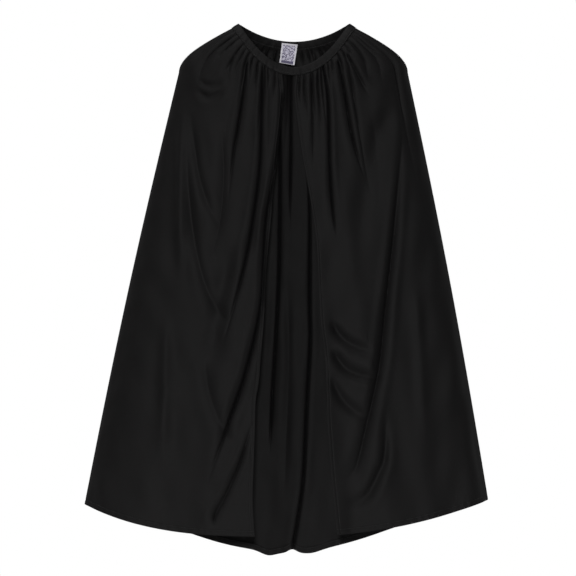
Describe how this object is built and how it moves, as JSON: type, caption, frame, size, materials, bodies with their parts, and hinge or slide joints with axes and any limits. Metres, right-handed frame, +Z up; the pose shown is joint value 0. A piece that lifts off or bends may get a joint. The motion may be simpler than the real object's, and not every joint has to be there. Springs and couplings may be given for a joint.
{
  "type": "superhero cape",
  "caption": "Child's costume cape of gathered black cloth on a narrow neckband with a hook-and-loop closure, worn hanging open at the front from the shoulders.",
  "frame": {"origin": "centre of the neck opening, level with the band's seam at the two neck points, where the cape rests on the shoulders", "axes": "+Z up, -Y the way the wearer faces, +X the wearer's left"},
  "size_m": [0.532, 0.1245, 0.7062],
  "materials": {
    "cloth": "black polyester, matt with a faint satin sheen",
    "neckband": "the same black polyester, folded double",
    "thread": "black polyester sewing thread",
    "hook_tape": "black nylon hook tape",
    "loop_tape": "black nylon loop tape",
    "label": null,
    "label_thread": "white polyester sewing thread"
  },
  "bodies": {
    "back": {"back_panel": "cloth", "neckband_back": "neckband", "neckband_back_stitch": "thread", "back_hem_stitch": "thread"},
    "left_front": {"left_front_panel": "cloth", "neckband_left": "neckband", "neckband_left_stitch": "thread", "left_hem_stitch": "thread", "left_edge_stitch": "thread", "hook_patch": "hook_tape", "hook_patch_stitch": "thread"},
    "right_front": {"right_front_panel": "cloth", "neckband_right": "neckband", "neckband_right_stitch": "thread", "right_hem_stitch": "thread", "right_edge_stitch": "thread", "loop_patch": "loop_tape"},
    "label": {"woven_label": "label", "label_stitch": "label_thread"}
  },
  "joints": [
    {"name": "left_front_swing", "type": "hinge", "parent": "back", "child": "left_front", "pos_m": [0.065, -0.0317, -0.0215], "axis": [-0.2042, 0.014, 0.9788], "range_deg": [0, 100]},
    {"name": "right_front_swing", "type": "hinge", "parent": "back", "child": "right_front", "pos_m": [-0.065, -0.0317, -0.0215], "axis": [0.2042, 0.014, 0.9788], "range_deg": [-100, 0]},
    {"name": "label_flip", "type": "hinge", "parent": "back", "child": "label", "pos_m": [-0.0055, 0.02806, -0.01824], "axis": [-0.9945, 0, 0.1045], "range_deg": [0, 110]}
  ],
  "couplings": [
    {"joint": "right_front_swing", "follows": "left_front_swing", "ratio": -1}
  ]
}
